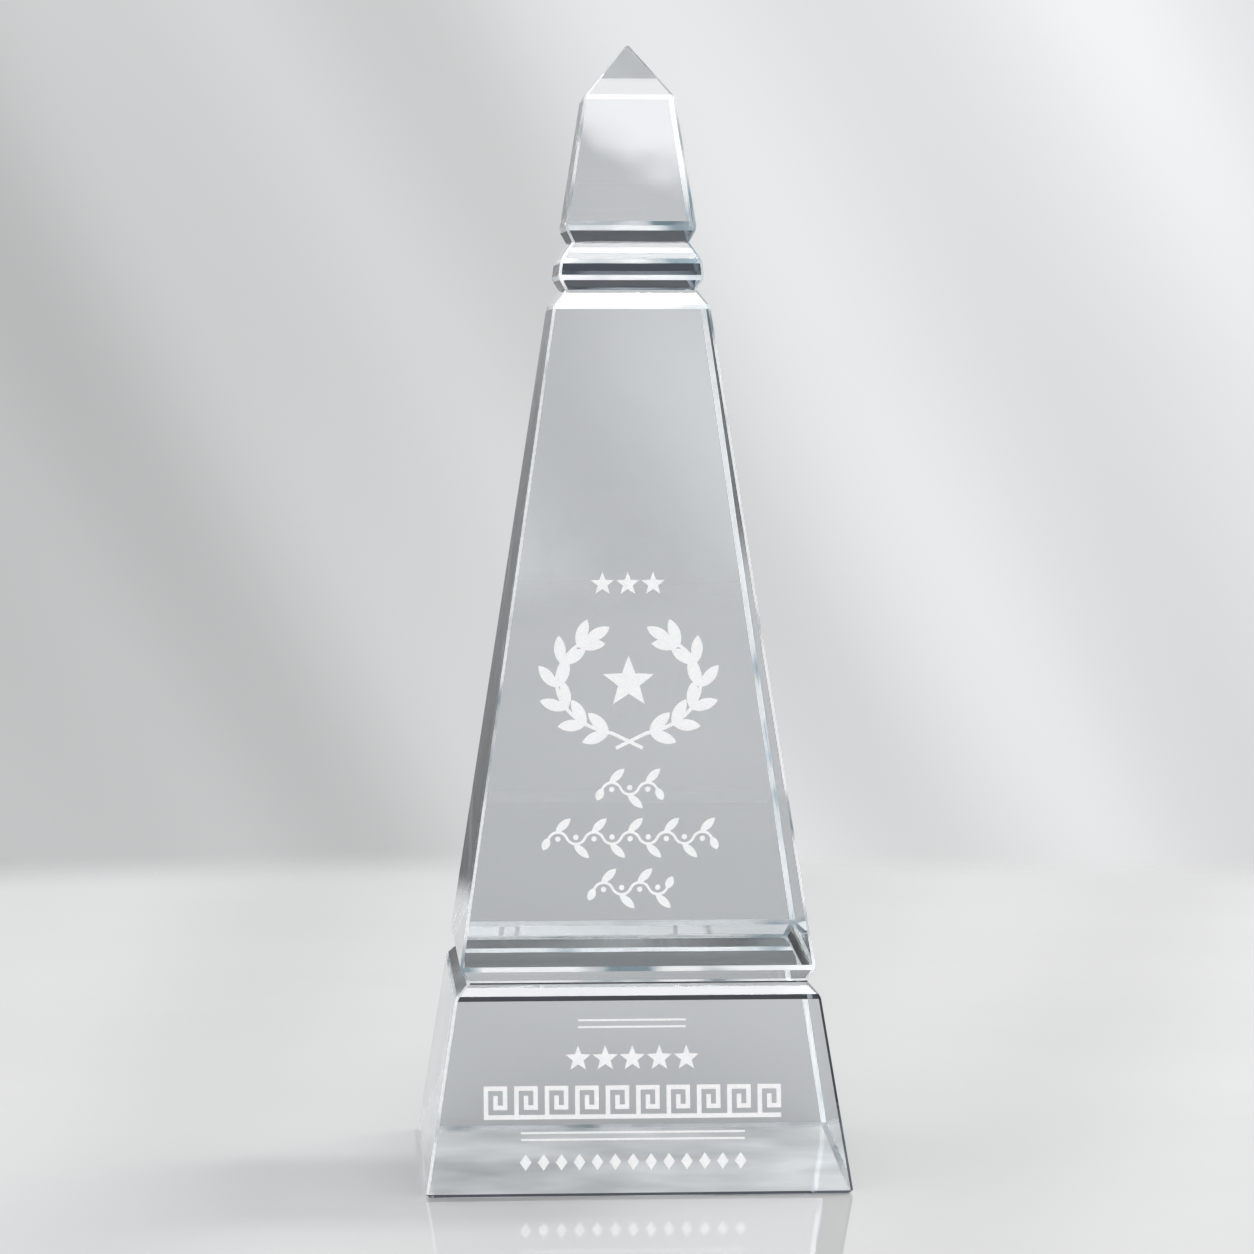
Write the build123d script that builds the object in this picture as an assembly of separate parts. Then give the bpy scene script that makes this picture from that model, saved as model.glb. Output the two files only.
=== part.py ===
from build123d import *
import math
import os

# Crystal award: a square obelisk of four polished optical glass blocks, bonded on flat seats.
# Millimetres. The origin is the centre of the underside, +Z is up and the decorated face looks along -Y.

# Base block
base_foot_width = 94.1          # square, at the underside
base_shoulder_width = 80.7      # square, at the top of the tall faces
base_side_height = 42.8         # underside to shoulder
base_bevel_height = 2.8         # shoulder to seat
base_seat_width = 75.4          # square seat that carries the tower
seat_land_height = 0.35         # upright polished land below and above the base joint
foot_arris = 0.7                # edge break round the underside

# Tower block
tower_foot_bevel_height = 2.6   # seat land to the widest level
tower_foot_width = 78.6
tower_side_height = 146.0
tower_top_width = 35.1
tower_top_bevel_height = 3.7
tower_seat_width = 29.5         # square seat that carries the collar

# Collar block
collar_foot_bevel_height = 2.6
collar_foot_width = 32.7
collar_side_height = 3.8
collar_top_width = 31.8
collar_top_bevel_height = 4.2
collar_seat_width = 26.3        # square seat that carries the pinnacle

# Pinnacle block
pinnacle_foot_bevel_height = 3.0
pinnacle_foot_width = 29.5
pinnacle_side_height = 29.5
pinnacle_shoulder_width = 20.4
pinnacle_roof_height = 12.0
pinnacle_tip_width = 0.6

# Edges and joints
arris = 0.6                     # edge break on every other outer edge
bond_thickness = 0.1            # clear adhesive film between two seats
bond_inset = 0.15               # film edge, inside the seat edge on each side

# Decoration: shallow pockets in the front faces, filled with white enamel
pocket_depth = 0.4
fill_recess = 0.05              # enamel surface, below the polished face
art_shift = -1.5                # decoration axis, from the block's middle plane
tool_overrun = 0.3              # pocket cutter, out of the face

# Middle of each decoration row, as a share of the height of its face from the lower edge
star_row_share = 0.578
laurel_share = 0.4295
upper_vine_share = 0.27
middle_vine_share = 0.196
lower_vine_share = 0.1205
upper_rule_share = 0.871
base_star_row_share = 0.694
key_band_share = 0.474
lower_rule_share = 0.304
diamond_row_share = 0.173

# Stars
star_count = 3
star_radius = 2.75
star_gap = 0.4
base_star_count = 5
base_star_radius = 2.95
base_star_gap = 0.35
star_waist = 0.42               # inner radius over outer radius

# Laurel
laurel_half_width = 16.0        # widest place of the branch
laurel_half_height = 11.6
laurel_foot_angle = -76.0       # where the branch starts and stops on its oval
laurel_tip_angle = 54.0
laurel_tail_reach = 3.0         # tail of the branch, past the middle and below the oval
laurel_tail_drop = 3.0
laurel_leaf_pairs = 6
laurel_leaf_length = 6.4
laurel_leaf_width = 2.6
laurel_leaf_angle = 32.0
laurel_stem_width = 0.8
laurel_star_radius = 6.0

# Vines
vine_half_wave = 4.0
vine_swing = 1.3
vine_stem_width = 0.6
vine_leaf_length = 4.6
vine_leaf_width = 1.8
vine_end_leaf_length = 3.0
vine_leaf_angle = 30.0
vine_berry_radius = 0.6
vine_berry_drop = 1.5           # berry centre, inside the crest
upper_vine_waves = 3
middle_vine_waves = 9
lower_vine_waves = 4

# Rules, key band and diamonds
rule_width = 0.45
rule_gap = 1.05
upper_rule_length = 23.8
lower_rule_length = 49.3
key_count = 10
key_stroke = 1.0
key_gap = 1.1                   # between the strokes of one hook
key_space = 1.5                 # between neighbouring hooks
diamond_count = 13
diamond_width = 2.6
diamond_height = 3.7
diamond_gap = 1.34


def bevelled(levels, broken):
    """Break the outer edges of a block's profile.

    levels are (height, half width) pairs from the bottom up; broken maps a level's index to the
    length cut back along each of the two faces that meet there.
    """
    profile = []
    for i, (height, half) in enumerate(levels):
        if i not in broken:
            profile.append((height, half))
            continue
        below = levels[i - 1] if i > 0 else (height, 0.0)
        above = levels[i + 1]
        for other in (below, above):
            run = math.hypot(other[0] - height, other[1] - half)
            share = broken[i] / run
            profile.append((height + share * (other[0] - height), half + share * (other[1] - half)))
    return profile


def ring(height, half):
    """Corner points of one square section, with its four corners broken."""
    cut = min(arris, half / 2)
    points = []
    for turn in range(4):
        for x, y in ((half, half - cut), (half - cut, half)):
            for _ in range(turn):
                x, y = -y, x
            points.append((x, y, height))
    return points


def block(levels, broken):
    """Solid with flat faces through a stack of square sections."""
    rings = [ring(height, half) for height, half in bevelled(levels, broken)]
    faces = [Face(Wire.make_polygon(rings[0])), Face(Wire.make_polygon(rings[-1]))]
    for lower, upper in zip(rings, rings[1:]):
        for i in range(len(lower)):
            j = (i + 1) % len(lower)
            faces.append(Face(Wire.make_polygon([lower[i], lower[j], upper[j], upper[i]])))
    return Solid(Shell(faces))


def bond(z_low, seat_width):
    """Adhesive film on top of a seat, with the seat's own outline, set in from its edge."""
    half = seat_width / 2 - bond_inset
    return block([(z_low, half), (z_low + bond_thickness, half)], {})


def front_plane(face, share):
    """Plane on a sloping front face, at a share of the way from its lower to its upper level."""
    (z_low, half_low), (z_high, half_high) = face
    slope = (half_high - half_low) / (z_high - z_low)
    half = half_low + share * (half_high - half_low)
    height = z_low + share * (z_high - z_low)
    return Plane(origin=(art_shift, -half, height), x_dir=(1, 0, 0), z_dir=(0, -1, -slope))


def pocket(plane, art):
    """Cutter for one decoration."""
    return extrude(plane.offset(tool_overrun) * art, amount=-(tool_overrun + pocket_depth))


def infill(plane, art):
    """White enamel that fills one decoration's pocket."""
    return extrude(plane.offset(-fill_recess) * art, amount=fill_recess - pocket_depth)


def star(radius):
    """Five-pointed star with one point up."""
    points = []
    for i in range(10):
        reach = radius if i % 2 == 0 else radius * star_waist
        angle = math.radians(90 + 36 * i)
        points.append((reach * math.cos(angle), reach * math.sin(angle)))
    return make_face(Polyline(*points, close=True))


def leaf(length, width):
    """Pointed leaf from the origin along +X."""
    upper = ThreePointArc((0, 0), (length / 2, width / 2), (length, 0))
    lower = ThreePointArc((length, 0), (length / 2, -width / 2), (0, 0))
    return make_face(Curve([upper, lower]))


def placed_leaf(path, along, angle, length, width):
    """Leaf that starts on a path and leans away from its direction."""
    start = path @ along
    heading = path % along
    lean = math.degrees(math.atan2(heading.Y, heading.X)) + angle
    return Pos(start.X, start.Y) * Rot(0, 0, lean) * leaf(length, width)


def row(count, gap, item):
    """Equal items side by side, centred."""
    pitch = item.bounding_box().size.X + gap
    return Sketch() + [Pos((i - (count - 1) / 2) * pitch, 0) * item for i in range(count)]


def laurel():
    """Two leafy branches that cross at the foot, round a star."""
    sweep = laurel_tip_angle - laurel_foot_angle
    stem = EllipticalCenterArc(
        (0, 0), laurel_half_width, laurel_half_height, start_angle=laurel_foot_angle, arc_size=sweep
    )
    tail = Line((-laurel_tail_reach, -laurel_half_height - laurel_tail_drop), stem @ 0)
    branch = trace([tail, stem], laurel_stem_width)
    for i in range(laurel_leaf_pairs):
        along = 0.02 + 0.9 * i / (laurel_leaf_pairs - 1)
        for angle in (laurel_leaf_angle, -laurel_leaf_angle):
            branch += placed_leaf(stem, along, angle, laurel_leaf_length, laurel_leaf_width)
    branch += placed_leaf(stem, 0.99, 0, laurel_leaf_length, laurel_leaf_width)
    return branch + mirror(branch, about=Plane.YZ) + star(laurel_star_radius)


def vine(waves):
    """Waving stem with a leaf outside each crest, a berry inside it and a leaf at each end."""
    starts = [(i - waves / 2) * vine_half_wave for i in range(waves)]
    sides = [1 if i % 2 == 0 else -1 for i in range(waves)]
    stems = [
        SagittaArc((start, 0), (start + vine_half_wave, 0), side * vine_swing)
        for start, side in zip(starts, sides)
    ]
    art = trace(stems, vine_stem_width)
    for stem, side in zip(stems, sides):
        crest = stem @ 0.5
        art += placed_leaf(stem, 0.4, side * vine_leaf_angle, vine_leaf_length, vine_leaf_width)
        art += Pos(crest.X, crest.Y - side * vine_berry_drop) * Circle(vine_berry_radius)
    art += placed_leaf(stems[0], 0.02, 180, vine_end_leaf_length, vine_leaf_width)
    art += placed_leaf(stems[-1], 0.98, 0, vine_end_leaf_length, vine_leaf_width)
    return art


def rules(length):
    """Two thin parallel lines."""
    line = Rectangle(length, rule_width)
    offset = (rule_gap + rule_width) / 2
    return Sketch() + [Pos(0, offset) * line, Pos(0, -offset) * line]


def key_band():
    """Running meander of hooks that stand on one bar."""
    cell = key_stroke + key_gap
    width = 2 * cell + key_stroke
    height = 3 * cell + key_stroke
    points = [
        (0, 0), (0, height), (width, height), (width, cell), (cell, cell),
        (cell, 2 * cell + key_stroke), (cell + key_stroke, 2 * cell + key_stroke),
        (cell + key_stroke, cell + key_stroke), (2 * cell, cell + key_stroke), (2 * cell, 3 * cell),
        (key_stroke, 3 * cell), (key_stroke, 0),
    ]
    hook = Pos(-width / 2, -height / 2) * make_face(Polyline(*points, close=True))
    length = key_count * (width + key_space) - key_space
    bar = Pos(0, (key_stroke - height) / 2) * Rectangle(length, key_stroke)
    return row(key_count, key_space, hook) + bar


def diamond():
    """Upright lozenge."""
    across, up = diamond_width / 2, diamond_height / 2
    return make_face(Polyline((across, 0), (0, up), (-across, 0), (0, -up), close=True))


# Levels of the four blocks, from the underside up
base_shoulder_z = base_side_height
base_seat_z = base_shoulder_z + base_bevel_height + seat_land_height
base_levels = [
    (0, base_foot_width / 2),
    (base_shoulder_z, base_shoulder_width / 2),
    (base_seat_z - seat_land_height, base_seat_width / 2),
    (base_seat_z, base_seat_width / 2),
]
tower_z = base_seat_z + bond_thickness
tower_foot_z = tower_z + seat_land_height + tower_foot_bevel_height
tower_top_z = tower_foot_z + tower_side_height
tower_seat_z = tower_top_z + tower_top_bevel_height
tower_levels = [
    (tower_z, base_seat_width / 2),
    (tower_z + seat_land_height, base_seat_width / 2),
    (tower_foot_z, tower_foot_width / 2),
    (tower_top_z, tower_top_width / 2),
    (tower_seat_z, tower_seat_width / 2),
]
collar_z = tower_seat_z + bond_thickness
collar_foot_z = collar_z + collar_foot_bevel_height
collar_top_z = collar_foot_z + collar_side_height
collar_seat_z = collar_top_z + collar_top_bevel_height
collar_levels = [
    (collar_z, tower_seat_width / 2),
    (collar_foot_z, collar_foot_width / 2),
    (collar_top_z, collar_top_width / 2),
    (collar_seat_z, collar_seat_width / 2),
]
pinnacle_z = collar_seat_z + bond_thickness
pinnacle_foot_z = pinnacle_z + pinnacle_foot_bevel_height
pinnacle_shoulder_z = pinnacle_foot_z + pinnacle_side_height
pinnacle_levels = [
    (pinnacle_z, collar_seat_width / 2),
    (pinnacle_foot_z, pinnacle_foot_width / 2),
    (pinnacle_shoulder_z, pinnacle_shoulder_width / 2),
    (pinnacle_shoulder_z + pinnacle_roof_height, pinnacle_tip_width / 2),
]

blocks = {
    "base_block": block(base_levels, {0: foot_arris, 1: arris}),
    "tower_block": block(tower_levels, {2: arris, 3: arris}),
    "collar_block": block(collar_levels, {1: arris, 2: arris}),
    "pinnacle_block": block(pinnacle_levels, {1: arris, 2: arris}),
}
bonds = {
    "tower_bond": bond(base_seat_z, base_seat_width),
    "collar_bond": bond(tower_seat_z, tower_seat_width),
    "pinnacle_bond": bond(collar_seat_z, collar_seat_width),
}

# Decorations: block, name, place on the front face, outline
fronts = {
    "tower_block": (tower_levels[2], tower_levels[3]),
    "base_block": (base_levels[0], base_levels[1]),
}
stars = row(star_count, star_gap, star(star_radius))
base_stars = row(base_star_count, base_star_gap, star(base_star_radius))
diamonds = row(diamond_count, diamond_gap, diamond())
decorations = [
    ("tower_block", "star_row_infill", star_row_share, stars),
    ("tower_block", "laurel_infill", laurel_share, laurel()),
    ("tower_block", "upper_vine_infill", upper_vine_share, vine(upper_vine_waves)),
    ("tower_block", "middle_vine_infill", middle_vine_share, vine(middle_vine_waves)),
    ("tower_block", "lower_vine_infill", lower_vine_share, vine(lower_vine_waves)),
    ("base_block", "upper_rule_infill", upper_rule_share, rules(upper_rule_length)),
    ("base_block", "base_star_row_infill", base_star_row_share, base_stars),
    ("base_block", "key_band_infill", key_band_share, key_band()),
    ("base_block", "lower_rule_infill", lower_rule_share, rules(lower_rule_length)),
    ("base_block", "diamond_row_infill", diamond_row_share, diamonds),
]
infills = {}
for owner, name, share, art in decorations:
    plane = front_plane(fronts[owner], share)
    blocks[owner] = blocks[owner] - pocket(plane, art)
    infills[name] = infill(plane, art)

os.makedirs("parts", exist_ok=True)
for name, shape in {**blocks, **bonds, **infills}.items():
    shape.label = name
    export_step(shape, f"parts/{name}.step")
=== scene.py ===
import math

import bpy
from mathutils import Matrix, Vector


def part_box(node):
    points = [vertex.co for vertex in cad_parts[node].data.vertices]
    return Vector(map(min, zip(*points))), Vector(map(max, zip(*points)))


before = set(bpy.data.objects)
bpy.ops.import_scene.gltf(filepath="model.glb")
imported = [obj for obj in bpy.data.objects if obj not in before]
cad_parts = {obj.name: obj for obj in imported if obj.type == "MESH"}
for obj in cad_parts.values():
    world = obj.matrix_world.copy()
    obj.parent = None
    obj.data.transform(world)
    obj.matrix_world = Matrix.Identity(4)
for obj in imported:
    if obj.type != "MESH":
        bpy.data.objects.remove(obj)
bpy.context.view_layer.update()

# Crystal award on a pale table top. Metres, in the CAD frame: the decorated faces look along -Y.
# Colours are linear. A pair is a range that noise moves a value through, and a pair named STOPS is the
# part of the noise that does it, unless its comment says otherwise.

# Camera
CAMERA_AZIMUTH = math.radians(-3.6)
CAMERA_ELEVATION = math.radians(3.22)
CAMERA_DISTANCE = 1.069
CAMERA_TARGET = Vector((0.0, 0.0, 0.1223))
CAMERA_LENS = 134.7
SENSOR_WIDTH = 36.0

# Values that most of the noise lies between
NOISE_LOW = 0.3
NOISE_HIGH = 0.7

# Table top: a disc that fades out towards its edge
TABLE_RADIUS = 0.8
TABLE_STEPS = 96
TABLE_DROP = 1e-4            # air between the underside and the table
FADE_START = 0.58
FADE_END = 0.70
TABLE_IOR = 1.33
TABLE_TONES = ((0.80, 0.805, 0.815, 1.0), (0.92, 0.92, 0.922, 1.0))
TABLE_ROUGHNESS = (0.03, 0.06)
TABLE_CLOUD_SCALE = 7.0
TABLE_SMEAR_SCALE = 9.0

# Crystal body
CRYSTAL_IOR = 1.52
BODY_TINT = (0.50, 0.54, 0.56, 1.0)
BODY_DENSITY = 4.0           # absorption per metre
LAMP_TINT = (0.93, 0.945, 0.955, 1.0)    # what a facet passes of a lamp's light
WAVINESS = 0.00004           # height of the waves that polishing leaves
WAVE_STRENGTH = 0.5
WAVE_SCALE = 70.0
SMEAR_SCALE = 60.0
SMEAR_RANGE = 0.01           # how much a facet's roughness varies

# Tints of what passes a facet
CLEAR_TINT = (0.745, 0.76, 0.775, 1.0)
BASE_TINT = (0.92, 0.935, 0.95, 1.0)
# Painted shade: a near-black tint on the pinnacle's facets that look down, on the collar's sides and on the
# base's front edges
PAINTED_SHADE_TINT = (0.07, 0.085, 0.11, 1.0)
UNDERSIDE_TINT = (0.98, 0.99, 1.0, 1.0)

# Fine-ground underside, with painted light: it glows in soft patches, in place of the light that the blocks
# gather
UNDERSIDE_SMEAR = 0.05
UNDERSIDE_CLARITY = 0.3
PAINTED_UNDERSIDE_GLOW = (0.0, 0.26)
PAINTED_GLOW_SCALE = 38.0

# Bonded seats
HAZE_TINT = (0.9, 0.93, 0.94, 1.0)
HAZE_ROUGHNESS = 0.5
HAZE_SCALE = 120.0
SEAT_HAZE = (0.05, 0.09)
TOP_SEAT_HAZE = (0.45, 0.6)

# Enamel, and the sandblasted glass under it
ENAMEL_LAMP_TINT = (0.95, 0.95, 0.95, 1.0)
GRAIN_SCALE = 2600.0
GRAIN_DEPTH = 0.00005
GRAIN_STRENGTH = 0.35
GRAIN_STOPS = (0.3, 0.6)
GRAIN_SHADE = (0.9, 0.91, 0.92)          # colour of the grain's low spots, as a share of the tone
GRAIN_ROUGHNESS = 0.08

# Ground edges
ARRIS_DARK = (0.20, 0.27, 0.31, 1.0)
ARRIS_BRIGHT = (0.98, 0.99, 1.0, 1.0)
ARRIS_STOPS = (0.33, 0.46)
ARRIS_PATCH_SCALE = 48.0
ARRIS_CLARITY = 0.12
ARRIS_ROUGHNESS = (0.25, 0.4)
ARRIS_GRAIN_SCALE = 900.0

# Sorting of facets
FORWARD_SLOPE = -0.9         # part in y of a normal, below which a face looks forward
LEVEL_SLOPE = 0.999          # upward part of a level facet's normal
UPRIGHT_SLOPE = 0.5          # least sideways part, in x and in y, of an upright broken edge's normal
FRONT_SLOPE = -0.3           # part in y of a normal, below which an edge belongs to the front
ROOF_SLOPE = 0.3             # upward part of a normal, above which an edge of the pinnacle is its roof's
PAINTED_SHADE_SLOPE = -0.2        # upward part of a normal, below which a facet of the pinnacle looks down and gets painted shade
COLLAR_PAINTED_SHADE_SLOPE = 0.3      # the same for the collar, whose side gets painted shade too
ARRIS_REACH = 1.3e-3         # tallest facet that counts as a broken edge
TOUCH = 2e-5                 # distance at which two faces count as lying on each other
POCKET_REACH = 1e-3          # deepest that a pocket's face lies behind the polished face

# Lamps: name, place, target, size, power in watts and colour
LAMPS = (
    ("key_softbox", (1.1, 0.7, 0.95), (0.0, 0.0, 0.1), (0.35, 0.35), 12.0, (1.0, 0.99, 0.97)),
    ("overhead_softbox", (0.0, -0.1, 1.4), (0.0, 0.0, 0.0), (1.4, 1.4), 5.0, (1.0, 1.0, 1.0)),
    ("front_fill", (-0.2, -1.5, 0.6), (0.0, 0.0, 0.12), (1.8, 1.2), 12.5, (1.0, 1.0, 1.0)),
)

# Sky: the studio as the crystal mirrors and refracts it, as (sine of the elevation, light)
SKY = (
    (-1.00, 0.50),
    (-0.25, 0.86),
    (-0.16, 0.86),
    (-0.11, 0.67),
    (0.00, 0.70),
    (0.08, 0.76),
    (0.13, 0.72),
    (0.24, 0.66),
    (0.32, 0.06),
    (0.55, 0.06),
    (0.70, 0.60),
    (0.80, 14.0),
    (0.95, 16.0),
    (0.98, 10.0),
    (0.99, 6.0),
    (1.00, 6.0),
)
SKY_COLOUR = (0.985, 0.99, 1.0, 1.0)
SKY_LIMIT = 0.92             # brightest that the backdrop gets
AMBIENT = 0.36               # even light on matt surfaces

# Slanting streaks over the whole sky, and a slow swell from side to side over the backdrop only
STREAK_RATE = 11.0
STREAK_SLANT = 0.6
STREAK_DEPTH = 0.2
STREAK_STOPS = (0.25, 0.75)
SWELL_RATE = 9.0
SWELL_CENTRE = 0.045
SWELL_DEPTH = 0.25

# Dark flags that the crystal mirrors, low down all round, with bright gaps between them
FLAG_COUNT = 8.0
FLAG_LIGHT = 0.12            # share of the sky's light left where a flag stands
FLAG_TURN = math.radians(6.5)
FLAG_START = 0.65            # cosine of FLAG_COUNT times the azimuth, where a flag begins
FLAG_END = 0.05              # and where it is fully dark
FLAG_TOP = (0.06, 0.085)     # sines of the elevations between which they fade out

# Softbox that the pinnacle's front mirrors
SOFTBOX_AZIMUTH = math.radians(5.4)
SOFTBOX_ELEVATION = math.radians(22.6)
SOFTBOX_EDGE = math.radians(2.9)
SOFTBOX_BLUR = math.radians(0.35)
SOFTBOX_LIGHT = 9.0
SOFTBOX_TOP = (0.385, 0.395)             # sines of the elevations between which it is cut off

# Light paths
BOUNCES = 32
GLOSSY_BOUNCES = 16

BLOCKS = ("base_block", "tower_block", "collar_block", "pinnacle_block")
BONDS = ("tower_bond", "collar_bond", "pinnacle_bond")
INFILLS = [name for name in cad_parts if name.endswith("_infill")]


def socket(node, name, value):
    node.inputs[name].default_value = value


def new_material(name):
    material = bpy.data.materials.new(name)
    material.use_nodes = True
    tree = material.node_tree
    tree.nodes.clear()
    output = tree.nodes.new("ShaderNodeOutputMaterial")
    return material, tree, output


def noise(tree, scale, detail):
    place = tree.nodes.new("ShaderNodeTexCoord")
    node = tree.nodes.new("ShaderNodeTexNoise")
    socket(node, "Scale", scale)
    socket(node, "Detail", detail)
    tree.links.new(place.outputs["Object"], node.inputs["Vector"])
    return node.outputs["Fac"]


def spread(tree, value, low, high):
    """Map noise onto a range."""
    node = tree.nodes.new("ShaderNodeMapRange")
    socket(node, "From Min", NOISE_LOW)
    socket(node, "From Max", NOISE_HIGH)
    socket(node, "To Min", low)
    socket(node, "To Max", high)
    tree.links.new(value, node.inputs["Value"])
    return node.outputs["Result"]


def blend_colours(tree, value, first, second, stops=(0.0, 1.0)):
    """Run from one colour to another as a value passes from one stop to the other."""
    node = tree.nodes.new("ShaderNodeValToRGB")
    for element, colour, stop in zip(node.color_ramp.elements, (first, second), stops):
        element.color = colour
        element.position = stop
    tree.links.new(value, node.inputs["Fac"])
    return node.outputs["Color"]


def bump(tree, height, strength, distance):
    node = tree.nodes.new("ShaderNodeBump")
    socket(node, "Strength", strength)
    socket(node, "Distance", distance)
    tree.links.new(height, node.inputs["Height"])
    return node.outputs["Normal"]


def mix_shaders(tree, share, first, second):
    """Mix two shaders: share is that of the second, as a socket or a plain number."""
    node = tree.nodes.new("ShaderNodeMixShader")
    if isinstance(share, float):
        socket(node, "Fac", share)
    else:
        tree.links.new(share, node.inputs["Fac"])
    tree.links.new(first, node.inputs[1])
    tree.links.new(second, node.inputs[2])
    return node.outputs["Shader"]


def math_node(tree, operation, *values):
    """A Math node; its inputs are sockets or plain numbers."""
    node = tree.nodes.new("ShaderNodeMath")
    node.operation = operation
    for slot, value in enumerate(values):
        if isinstance(value, (int, float)):
            node.inputs[slot].default_value = value
        else:
            tree.links.new(value, node.inputs[slot])
    return node.outputs["Value"]


def smooth_step(tree, value, start, end, low=0.0, high=1.0):
    node = tree.nodes.new("ShaderNodeMapRange")
    node.interpolation_type = "SMOOTHSTEP"
    socket(node, "From Min", start)
    socket(node, "From Max", end)
    socket(node, "To Min", low)
    socket(node, "To Max", high)
    tree.links.new(value, node.inputs["Value"])
    return node.outputs["Result"]


def choose(tree, switch, first, second):
    """The second value where the switch is 1, else the first; each is a socket or a plain number."""
    node = tree.nodes.new("ShaderNodeMix")
    node.data_type = "FLOAT"
    tree.links.new(switch, node.inputs["Factor"])
    for name, value in (("A", first), ("B", second)):
        if isinstance(value, float):
            socket(node, name, value)
        else:
            tree.links.new(value, node.inputs[name])
    return node.outputs["Result"]


def towards(azimuth, elevation):
    """Unit vector to a place in front of the award, turned to its right and up."""
    return Vector((
        math.sin(azimuth) * math.cos(elevation),
        -math.cos(azimuth) * math.cos(elevation),
        math.sin(elevation),
    ))


def pass_lamps(tree, shader, tint):
    """Let the lamps' light through as through a tinted film, without bending it."""
    lamps = tree.nodes.new("ShaderNodeBsdfTransparent")
    socket(lamps, "Color", tint)
    path = tree.nodes.new("ShaderNodeLightPath")
    return mix_shaders(tree, path.outputs["Is Shadow Ray"], shader, lamps.outputs["BSDF"])


def fill_body(tree, output):
    """Tint light by the length of its way through the crystal."""
    body = tree.nodes.new("ShaderNodeVolumeAbsorption")
    socket(body, "Color", BODY_TINT)
    socket(body, "Density", BODY_DENSITY)
    tree.links.new(body.outputs["Volume"], output.inputs["Volume"])


def crystal_material(name, tint, smear=0.0, clarity=1.0, painted_glow=None):
    """Optical crystal with a faint body tint and the unevenness that polishing leaves.

    tint colours what passes the facet, and a near-black tint paints shade onto it; smear is its roughness, 0
    on a polished facet, and clarity is the share of light that passes instead of being scattered by a ground
    surface.
    painted_glow is the range of painted light, an emission in soft patches on the facet in place of the
    light that a block gathers.
    """
    material, tree, output = new_material(name)
    glass = tree.nodes.new("ShaderNodeBsdfPrincipled")
    socket(glass, "Base Color", tint)
    socket(glass, "Transmission Weight", clarity)
    socket(glass, "IOR", CRYSTAL_IOR)
    roughness = spread(tree, noise(tree, SMEAR_SCALE, detail=3.0), smear, smear + SMEAR_RANGE)
    tree.links.new(roughness, glass.inputs["Roughness"])
    waves = bump(tree, noise(tree, WAVE_SCALE, detail=1.0), WAVE_STRENGTH, WAVINESS)
    tree.links.new(waves, glass.inputs["Normal"])
    # Painted light: the facet glows in soft patches instead of being lit
    if painted_glow:
        socket(glass, "Emission Color", tint)
        patches = spread(tree, noise(tree, PAINTED_GLOW_SCALE, detail=2.0), *painted_glow)
        tree.links.new(patches, glass.inputs["Emission Strength"])
    tree.links.new(pass_lamps(tree, glass.outputs["BSDF"], LAMP_TINT), output.inputs["Surface"])
    fill_body(tree, output)
    return material


def bonded_material(name, haze_range):
    """Seat wetted by adhesive of the crystal's own index: clear, with some haze."""
    material, tree, output = new_material(name)
    clear = tree.nodes.new("ShaderNodeBsdfTransparent")
    haze = tree.nodes.new("ShaderNodeBsdfPrincipled")
    socket(haze, "Base Color", HAZE_TINT)
    socket(haze, "Roughness", HAZE_ROUGHNESS)
    share = spread(tree, noise(tree, HAZE_SCALE, detail=4.0), *haze_range)
    seat = mix_shaders(tree, share, clear.outputs["BSDF"], haze.outputs["BSDF"])
    tree.links.new(seat, output.inputs["Surface"])
    return material


def enamel_material(name, tone, roughness, glimmer):
    """White fill, or the sandblasted glass under it, with a fine grain. glimmer is the share of its light
    that comes through from the far side.
    """
    material, tree, output = new_material(name)
    grain = noise(tree, GRAIN_SCALE, detail=5.0)
    low = tuple(tone * share for share in GRAIN_SHADE) + (1.0,)
    colour = blend_colours(tree, grain, low, (tone, tone, tone, 1.0), GRAIN_STOPS)
    white = tree.nodes.new("ShaderNodeBsdfPrincipled")
    tree.links.new(colour, white.inputs["Base Color"])
    uneven = spread(tree, grain, roughness - GRAIN_ROUGHNESS, roughness + GRAIN_ROUGHNESS)
    tree.links.new(uneven, white.inputs["Roughness"])
    tree.links.new(bump(tree, grain, GRAIN_STRENGTH, GRAIN_DEPTH), white.inputs["Normal"])
    through = tree.nodes.new("ShaderNodeBsdfTranslucent")
    tree.links.new(colour, through.inputs["Color"])
    both = mix_shaders(tree, glimmer, white.outputs["BSDF"], through.outputs["BSDF"])
    tree.links.new(pass_lamps(tree, both, ENAMEL_LAMP_TINT), output.inputs["Surface"])
    return material


def arris_material():
    """Finely ground broken edge: it scatters light from both sides, brighter and darker along its length."""
    material, tree, output = new_material("ground_arris")
    glass = tree.nodes.new("ShaderNodeBsdfPrincipled")
    socket(glass, "Transmission Weight", ARRIS_CLARITY)
    socket(glass, "IOR", CRYSTAL_IOR)
    roughness = spread(tree, noise(tree, ARRIS_GRAIN_SCALE, detail=3.0), *ARRIS_ROUGHNESS)
    tree.links.new(roughness, glass.inputs["Roughness"])
    through = tree.nodes.new("ShaderNodeBsdfTranslucent")
    patches = noise(tree, ARRIS_PATCH_SCALE, detail=2.0)
    colour = blend_colours(tree, patches, ARRIS_DARK, ARRIS_BRIGHT, ARRIS_STOPS)
    tree.links.new(colour, glass.inputs["Base Color"])
    tree.links.new(colour, through.inputs["Color"])
    both = tree.nodes.new("ShaderNodeAddShader")
    tree.links.new(glass.outputs["BSDF"], both.inputs[0])
    tree.links.new(through.outputs["BSDF"], both.inputs[1])
    tree.links.new(both.outputs["Shader"], output.inputs["Surface"])
    fill_body(tree, output)
    return material


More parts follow.
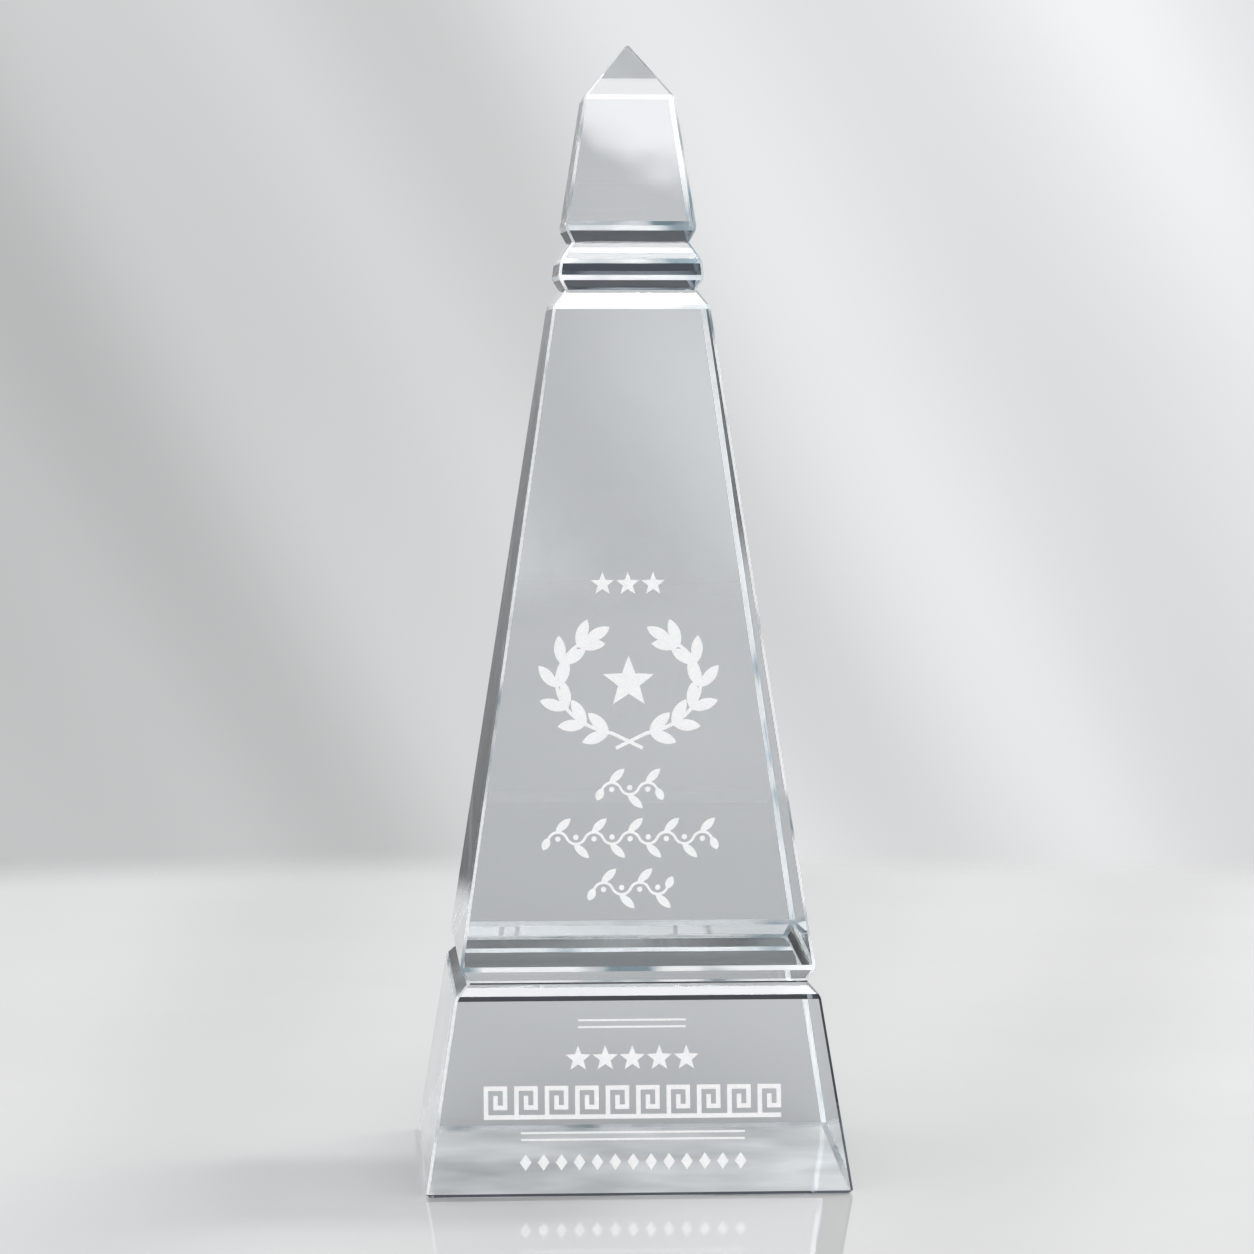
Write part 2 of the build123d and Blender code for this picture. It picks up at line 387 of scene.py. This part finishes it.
def table_material():
    """Pale polished table top that fades out towards its edge."""
    material, tree, output = new_material("pale_table")
    pale = tree.nodes.new("ShaderNodeBsdfPrincipled")
    socket(pale, "IOR", TABLE_IOR)
    colour = blend_colours(tree, noise(tree, TABLE_CLOUD_SCALE, detail=4.0), *TABLE_TONES)
    tree.links.new(colour, pale.inputs["Base Color"])
    roughness = spread(tree, noise(tree, TABLE_SMEAR_SCALE, detail=3.0), *TABLE_ROUGHNESS)
    tree.links.new(roughness, pale.inputs["Roughness"])
    clear = tree.nodes.new("ShaderNodeBsdfTransparent")
    place = tree.nodes.new("ShaderNodeTexCoord")
    radius = tree.nodes.new("ShaderNodeVectorMath")
    radius.operation = "LENGTH"
    tree.links.new(place.outputs["Object"], radius.inputs[0])
    fade = smooth_step(tree, radius.outputs["Value"], FADE_START, FADE_END)
    top = mix_shaders(tree, fade, pale.outputs["BSDF"], clear.outputs["BSDF"])
    tree.links.new(top, output.inputs["Surface"])
    return material


def front_plane(mesh):
    """Centre and normal of a block's largest face that looks forward."""
    forward = [p for p in mesh.polygons if p.normal.y < FORWARD_SLOPE]
    best = max(forward, key=lambda p: p.area)
    return best.center.copy(), best.normal.copy()


def inside(point, box, margin):
    low, high = box
    return all(low[i] - margin <= point[i] <= high[i] + margin for i in range(3))


def is_upright_arris(polygon):
    return min(abs(polygon.normal.x), abs(polygon.normal.y)) > UPRIGHT_SLOPE


def is_arris(mesh, polygon):
    """True on a broken edge: a facet between two sides, or one that is only a hair tall."""
    heights = [mesh.vertices[i].co.z for i in polygon.vertices]
    return is_upright_arris(polygon) or max(heights) - min(heights) < ARRIS_REACH


def arris_kind(name, polygon):
    """Finish of a broken edge: polished, with painted shade, round most of the base's front, clear at the
    roof's foot, and ground elsewhere.
    """
    upright = is_upright_arris(polygon)
    front = polygon.normal.y < FRONT_SLOPE
    # the base's front edges are polished, with a near-black tint as painted shade
    if name == "base_block" and front and not (upright and polygon.normal.x < 0):
        return "painted shade arris"
    if name == "pinnacle_block" and not upright and polygon.normal.z > ROOF_SLOPE:
        return "face"
    return "bright arris"


def facet_kind(name, mesh, polygon, seats, pockets, front):
    """Finish of a block's facet, from where it lies and where it looks; the pinnacle's facets that look
    down, and the collar's sides, get painted shade.
    """
    origin, normal = front
    depth = (origin - polygon.center).dot(normal)
    level = abs(polygon.normal.z) > LEVEL_SLOPE
    if level and any(abs(polygon.center.z - z) < TOUCH for z in seats):
        return "top seat" if name == "pinnacle_block" else "seat"
    if TOUCH < depth < POCKET_REACH and any(inside(polygon.center, box, TOUCH) for box in pockets):
        return "pocket"
    if level:
        return "underside" if name == "base_block" else "face"
    if abs(depth) > TOUCH and is_arris(mesh, polygon):
        return arris_kind(name, polygon)
    # painted shade: a near-black tint on the pinnacle's facets that look down and on the collar's sides
    if name == "pinnacle_block" and polygon.normal.z < PAINTED_SHADE_SLOPE:
        return "painted shade facet"
    if name == "collar_block" and polygon.normal.z < COLLAR_PAINTED_SHADE_SLOPE:
        return "painted shade facet"
    return "base face" if name == "base_block" else "face"


def finish_block(name, finishes):
    """Give each facet of a block its finish, out of a table of materials by kind of facet."""
    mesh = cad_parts[name].data
    low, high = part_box(name)
    seats = []
    if name != "base_block":
        seats.append(low.z)
    if name != "pinnacle_block":
        seats.append(high.z)
    pockets = [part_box(infill) for infill in INFILLS if low.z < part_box(infill)[0].z < high.z]
    front = front_plane(mesh)
    mesh.materials.clear()
    for material in finishes.values():
        mesh.materials.append(material)
    kinds = list(finishes)
    for polygon in mesh.polygons:
        polygon.use_smooth = False
        polygon.material_index = kinds.index(facet_kind(name, mesh, polygon, seats, pockets, front))


def dress(names, material):
    for name in names:
        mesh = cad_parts[name].data
        mesh.materials.clear()
        mesh.materials.append(material)


def build_table(material):
    mesh = bpy.data.meshes.new("table_top")
    turns = [2 * math.pi * i / TABLE_STEPS for i in range(TABLE_STEPS)]
    rim = [(TABLE_RADIUS * math.cos(turn), TABLE_RADIUS * math.sin(turn), -TABLE_DROP) for turn in turns]
    mesh.from_pydata(rim, [], [list(range(TABLE_STEPS))])
    mesh.materials.append(material)
    table = bpy.data.objects.new("table_top", mesh)
    bpy.context.scene.collection.objects.link(table)


def area_light(name, place, target, size, power, colour):
    """Softbox that lights the scene but isn't mirrored in the crystal: the sky does that."""
    data = bpy.data.lights.new(name, "AREA")
    data.shape = "RECTANGLE"
    data.size, data.size_y = size
    data.energy = power
    data.color = colour
    light = bpy.data.objects.new(name, data)
    light.location = place
    light.rotation_euler = (Vector(target) - Vector(place)).to_track_quat("-Z", "Y").to_euler()
    light.visible_glossy = False
    light.visible_transmission = False
    bpy.context.scene.collection.objects.link(light)


def sky_light(tree, sine):
    """Light of the sky at a height, drawn through the stops of SKY on a curve that runs from 0 to 1."""
    curve = tree.nodes.new("ShaderNodeFloatCurve")
    line = curve.mapping.curves[0]
    top = max(light for _, light in SKY)
    stops = [((height + 1) / 2, light / top) for height, light in SKY]
    line.points[0].location = stops[0]
    line.points[-1].location = stops[-1]
    for stop in stops[1:-1]:
        line.points.new(*stop)
    for point in line.points:
        point.handle_type = "VECTOR"
    curve.mapping.update()
    tree.links.new(math_node(tree, "MULTIPLY_ADD", sine, 0.5, 0.5), curve.inputs["Value"])
    return math_node(tree, "MULTIPLY", curve.outputs["Value"], top)


def soft_streaks(tree, split):
    """Slow slanting streaks of light, as a factor."""
    across = math_node(tree, "MULTIPLY", split.outputs["X"], STREAK_RATE)
    slant = math_node(tree, "MULTIPLY", split.outputs["Z"], STREAK_RATE * STREAK_SLANT)
    along = math_node(tree, "MULTIPLY", split.outputs["Y"], STREAK_RATE)
    join = tree.nodes.new("ShaderNodeCombineXYZ")
    tree.links.new(math_node(tree, "ADD", across, slant), join.inputs["X"])
    tree.links.new(along, join.inputs["Y"])
    streaks = tree.nodes.new("ShaderNodeTexNoise")
    socket(streaks, "Scale", 1.0)
    socket(streaks, "Detail", 1.0)
    tree.links.new(join.outputs["Vector"], streaks.inputs["Vector"])
    return smooth_step(tree, streaks.outputs["Fac"], *STREAK_STOPS, 1.0 - STREAK_DEPTH, 1.0 + STREAK_DEPTH)


def broad_swell(tree, split):
    """Slow rise and fall of light from side to side, as a factor."""
    offset = math_node(tree, "SUBTRACT", split.outputs["X"], SWELL_CENTRE)
    wave = math_node(tree, "SINE", math_node(tree, "MULTIPLY", offset, SWELL_RATE))
    return math_node(tree, "ADD", math_node(tree, "MULTIPLY", wave, SWELL_DEPTH), 1.0)


def dark_flags(tree, split):
    """Share of the light that the flags leave, by direction."""
    azimuth = math_node(tree, "ARCTAN2", split.outputs["X"], split.outputs["Y"])
    turned = math_node(tree, "SUBTRACT", azimuth, FLAG_TURN)
    wave = math_node(tree, "COSINE", math_node(tree, "MULTIPLY", turned, FLAG_COUNT))
    flags = smooth_step(tree, wave, FLAG_END, FLAG_START, FLAG_LIGHT, 1.0)
    above = smooth_step(tree, split.outputs["Z"], *FLAG_TOP)
    return math_node(tree, "MAXIMUM", flags, above)


def mirrored_softbox(tree, direction, split):
    """Light of the softbox, by direction: a round patch with its top cut off."""
    aim = tree.nodes.new("ShaderNodeVectorMath")
    aim.operation = "DOT_PRODUCT"
    aim.inputs[1].default_value = towards(SOFTBOX_AZIMUTH, SOFTBOX_ELEVATION)
    tree.links.new(direction, aim.inputs[0])
    patch = smooth_step(tree, aim.outputs["Value"], math.cos(SOFTBOX_EDGE + SOFTBOX_BLUR),
                        math.cos(SOFTBOX_EDGE - SOFTBOX_BLUR), 0.0, SOFTBOX_LIGHT)
    cut = smooth_step(tree, split.outputs["Z"], *SOFTBOX_TOP, 1.0, 0.0)
    return math_node(tree, "MULTIPLY", patch, cut)


def build_world():
    """Even light on matt surfaces, the backdrop before the camera, and the whole studio in the crystal."""
    world = bpy.data.worlds.new("studio")
    world.use_nodes = True
    tree = world.node_tree
    tree.nodes.clear()
    place = tree.nodes.new("ShaderNodeTexCoord")
    split = tree.nodes.new("ShaderNodeSeparateXYZ")
    tree.links.new(place.outputs["Generated"], split.inputs["Vector"])
    sky = math_node(tree, "MULTIPLY", sky_light(tree, split.outputs["Z"]), soft_streaks(tree, split))
    swelling = math_node(tree, "MULTIPLY", sky, broad_swell(tree, split))
    backdrop = math_node(tree, "MINIMUM", swelling, SKY_LIMIT)
    flagged = math_node(tree, "MULTIPLY", sky, dark_flags(tree, split))
    softbox = mirrored_softbox(tree, place.outputs["Generated"], split)
    studio = math_node(tree, "ADD", flagged, softbox)

    path = tree.nodes.new("ShaderNodeLightPath")
    glossy, transmitted = path.outputs["Is Glossy Ray"], path.outputs["Is Transmission Ray"]
    light = choose(tree, math_node(tree, "MAXIMUM", glossy, transmitted), AMBIENT, studio)
    light = choose(tree, path.outputs["Is Camera Ray"], light, backdrop)
    background = tree.nodes.new("ShaderNodeBackground")
    socket(background, "Color", SKY_COLOUR)
    tree.links.new(light, background.inputs["Strength"])
    output = tree.nodes.new("ShaderNodeOutputWorld")
    tree.links.new(background.outputs["Background"], output.inputs["Surface"])
    bpy.context.scene.world = world


def build_camera():
    away = towards(CAMERA_AZIMUTH, CAMERA_ELEVATION)
    data = bpy.data.cameras.new("camera")
    data.lens = CAMERA_LENS
    data.sensor_width = SENSOR_WIDTH
    camera = bpy.data.objects.new("camera", data)
    camera.location = CAMERA_TARGET + away * CAMERA_DISTANCE
    camera.rotation_euler = (-away).to_track_quat("-Z", "Y").to_euler()
    bpy.context.scene.collection.objects.link(camera)
    bpy.context.scene.camera = camera


seat_material = bonded_material("bonded_seat", SEAT_HAZE)
block_finishes = {
    "face": crystal_material("polished_crystal", CLEAR_TINT),
    "seat": seat_material,
    "pocket": enamel_material("sandblasted_glass", tone=0.9, roughness=0.7, glimmer=0.7),
    "bright arris": arris_material(),
    # painted shade along the base's front edges
    "painted shade arris": crystal_material("painted_shade_arris", PAINTED_SHADE_TINT),
    # painted shade on the pinnacle's facets that look down and on the collar's sides
    "painted shade facet": crystal_material("painted_shade_crystal", PAINTED_SHADE_TINT),
    # the underside's fine grinding is its own; its glowing patches are painted light
    "underside": crystal_material("fine_ground_underside_painted_glow", UNDERSIDE_TINT, UNDERSIDE_SMEAR,
                                  UNDERSIDE_CLARITY, PAINTED_UNDERSIDE_GLOW),
    "base face": crystal_material("base_crystal", BASE_TINT),
    "top seat": bonded_material("bonded_top_seat", TOP_SEAT_HAZE),
}
for block in BLOCKS:
    finish_block(block, block_finishes)
dress(BONDS, seat_material)
dress(INFILLS, enamel_material("white_enamel", tone=0.95, roughness=0.5, glimmer=0.0))
build_table(table_material())
for lamp in LAMPS:
    area_light(*lamp)
build_world()
build_camera()

scene = bpy.context.scene
scene.cycles.max_bounces = BOUNCES
scene.cycles.transmission_bounces = BOUNCES
scene.cycles.glossy_bounces = GLOSSY_BOUNCES
scene.cycles.transparent_max_bounces = BOUNCES
scene.cycles.caustics_reflective = False
scene.cycles.caustics_refractive = False
scene.view_settings.view_transform = "Standard"
